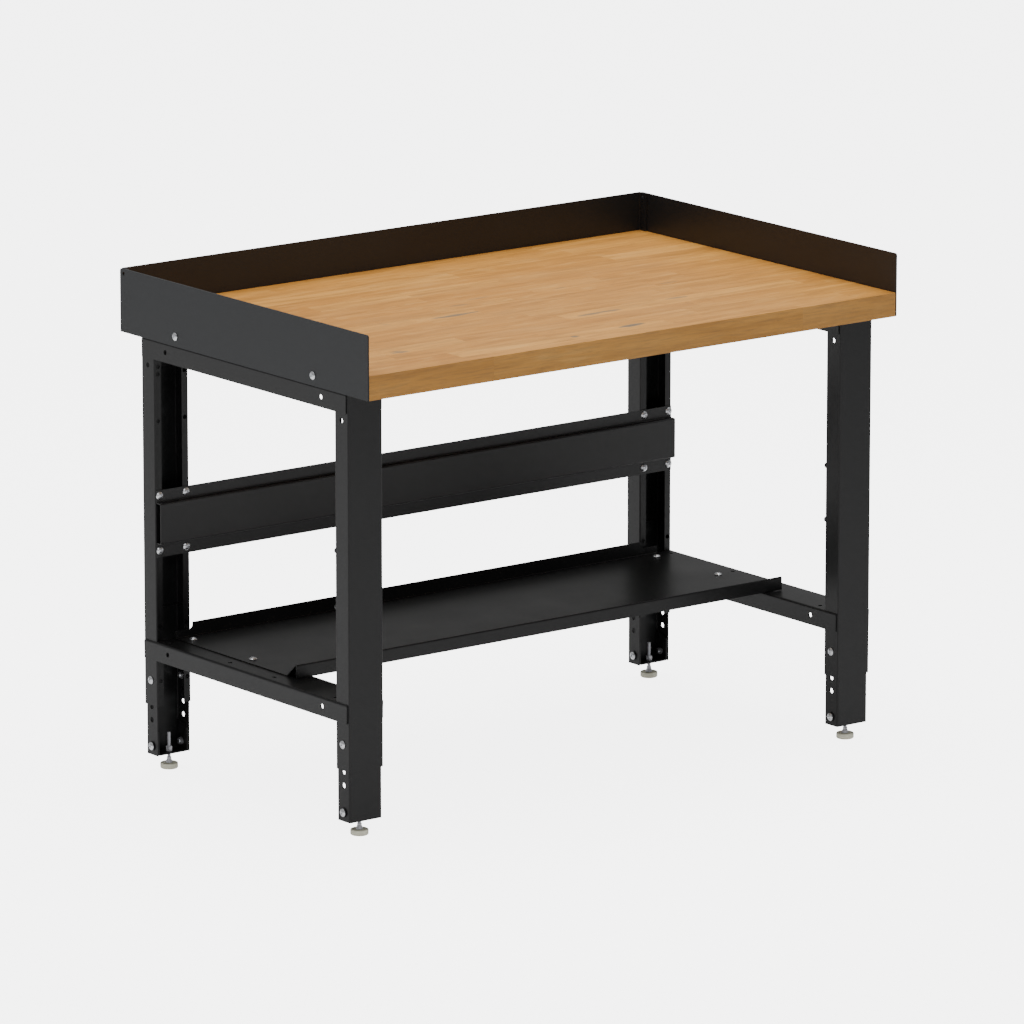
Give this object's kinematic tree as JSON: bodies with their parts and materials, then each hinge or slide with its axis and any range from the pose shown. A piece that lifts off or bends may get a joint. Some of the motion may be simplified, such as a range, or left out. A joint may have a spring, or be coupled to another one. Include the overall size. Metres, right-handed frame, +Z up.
{
  "type": "workbench",
  "caption": "Workbench with an oak butcher-block top inside low back and side stops, a folded black steel frame, a lower shelf, a rear stringer and adjustable legs with levelling feet.",
  "frame": {"origin": "on the floor, under the middle of the bounding box", "axes": "+X to the right of someone standing in front, along the worktop; +Y to the back; +Z up"},
  "size_m": [1.2314, 0.7696, 0.9397],
  "materials": {
    "black_steel": "semi-matt black powder coat",
    "zinc_steel": "bright zinc plate",
    "oak": "satin clear coat on glued oak staves",
    "pad_plastic": "matt moulded plastic"
  },
  "bodies": {
    "bench_frame": {"worktop": "oak", "back_stop": "black_steel", "left_stop": "black_steel", "right_stop": "black_steel", "left_upper_channel": "black_steel", "right_upper_channel": "black_steel", "left_lower_channel": "black_steel", "right_lower_channel": "black_steel", "stringer": "black_steel", "lower_shelf": "black_steel", "front_left_upright": "black_steel", "front_left_height_bolt_outer": "zinc_steel", "front_left_height_bolt_inner": "zinc_steel", "front_right_upright": "black_steel", "front_right_height_bolt_outer": "zinc_steel", "front_right_height_bolt_inner": "zinc_steel", "rear_left_upright": "black_steel", "rear_left_height_bolt_outer": "zinc_steel", "rear_left_height_bolt_inner": "zinc_steel", "rear_right_upright": "black_steel", "rear_right_height_bolt_outer": "zinc_steel", "rear_right_height_bolt_inner": "zinc_steel", "stringer_bolt_1": "zinc_steel", "stringer_bolt_2": "zinc_steel", "stringer_bolt_3": "zinc_steel", "stringer_bolt_4": "zinc_steel", "stringer_bolt_5": "zinc_steel", "stringer_bolt_6": "zinc_steel", "stringer_bolt_7": "zinc_steel", "stringer_bolt_8": "zinc_steel", "shelf_bolt_1": "zinc_steel", "shelf_bolt_2": "zinc_steel", "shelf_bolt_3": "zinc_steel", "shelf_bolt_4": "zinc_steel", "left_stop_screw_1": "zinc_steel", "left_stop_screw_2": "zinc_steel", "right_stop_screw_1": "zinc_steel", "right_stop_screw_2": "zinc_steel", "back_stop_screw_1": "zinc_steel", "back_stop_screw_2": "zinc_steel"},
    "front_left_extension": {"front_left_leg_extension": "black_steel", "front_left_foot_bracket": "black_steel", "front_left_bracket_bolt": "zinc_steel"},
    "front_left_pad": {"front_left_foot_pad": "pad_plastic"},
    "front_left_stud": {"front_left_foot_stud": "zinc_steel"},
    "front_right_extension": {"front_right_leg_extension": "black_steel", "front_right_foot_bracket": "black_steel", "front_right_bracket_bolt": "zinc_steel"},
    "front_right_pad": {"front_right_foot_pad": "pad_plastic"},
    "front_right_stud": {"front_right_foot_stud": "zinc_steel"},
    "rear_left_extension": {"rear_left_leg_extension": "black_steel", "rear_left_foot_bracket": "black_steel", "rear_left_bracket_bolt": "zinc_steel"},
    "rear_left_pad": {"rear_left_foot_pad": "pad_plastic"},
    "rear_left_stud": {"rear_left_foot_stud": "zinc_steel"},
    "rear_right_extension": {"rear_right_leg_extension": "black_steel", "rear_right_foot_bracket": "black_steel", "rear_right_bracket_bolt": "zinc_steel"},
    "rear_right_pad": {"rear_right_foot_pad": "pad_plastic"},
    "rear_right_stud": {"rear_right_foot_stud": "zinc_steel"}
  },
  "joints": [
    {"name": "front_left_height_slide", "type": "slide", "parent": "bench_frame", "child": "front_left_extension", "axis": [0, 0, -1], "range_m": [-0.0508, 0.0762]},
    {"name": "front_left_pad_level", "type": "slide", "parent": "front_left_extension", "child": "front_left_pad", "axis": [0, 0, -1], "range_m": [-0.008, 0.02]},
    {"name": "front_left_stud_turn", "type": "hinge", "parent": "front_left_pad", "child": "front_left_stud", "pos_m": [-0.5691, -0.2969, 0.04], "axis": [0, 0, -1], "range_deg": [-2300, 5700]},
    {"name": "front_right_height_slide", "type": "slide", "parent": "bench_frame", "child": "front_right_extension", "axis": [0, 0, -1], "range_m": [-0.0508, 0.0762]},
    {"name": "front_right_pad_level", "type": "slide", "parent": "front_right_extension", "child": "front_right_pad", "axis": [0, 0, -1], "range_m": [-0.008, 0.02]},
    {"name": "front_right_stud_turn", "type": "hinge", "parent": "front_right_pad", "child": "front_right_stud", "pos_m": [0.5691, -0.2969, 0.04], "axis": [0, 0, -1], "range_deg": [-2300, 5700]},
    {"name": "rear_left_height_slide", "type": "slide", "parent": "bench_frame", "child": "rear_left_extension", "axis": [0, 0, -1], "range_m": [-0.0508, 0.0762]},
    {"name": "rear_left_pad_level", "type": "slide", "parent": "rear_left_extension", "child": "rear_left_pad", "axis": [0, 0, -1], "range_m": [-0.008, 0.02]},
    {"name": "rear_left_stud_turn", "type": "hinge", "parent": "rear_left_pad", "child": "rear_left_stud", "pos_m": [-0.5691, 0.29795, 0.04], "axis": [0, 0, -1], "range_deg": [-2300, 5700]},
    {"name": "rear_right_height_slide", "type": "slide", "parent": "bench_frame", "child": "rear_right_extension", "axis": [0, 0, -1], "range_m": [-0.0508, 0.0762]},
    {"name": "rear_right_pad_level", "type": "slide", "parent": "rear_right_extension", "child": "rear_right_pad", "axis": [0, 0, -1], "range_m": [-0.008, 0.02]},
    {"name": "rear_right_stud_turn", "type": "hinge", "parent": "rear_right_pad", "child": "rear_right_stud", "pos_m": [0.5691, 0.29795, 0.04], "axis": [0, 0, -1], "range_deg": [-2300, 5700]}
  ],
  "couplings": [
    {"joint": "front_left_stud_turn", "follows": "front_left_pad_level", "rad_per_m": 4947.4},
    {"joint": "front_right_stud_turn", "follows": "front_right_pad_level", "rad_per_m": 4947.4},
    {"joint": "rear_left_stud_turn", "follows": "rear_left_pad_level", "rad_per_m": 4947.4},
    {"joint": "rear_right_stud_turn", "follows": "rear_right_pad_level", "rad_per_m": 4947.4}
  ]
}
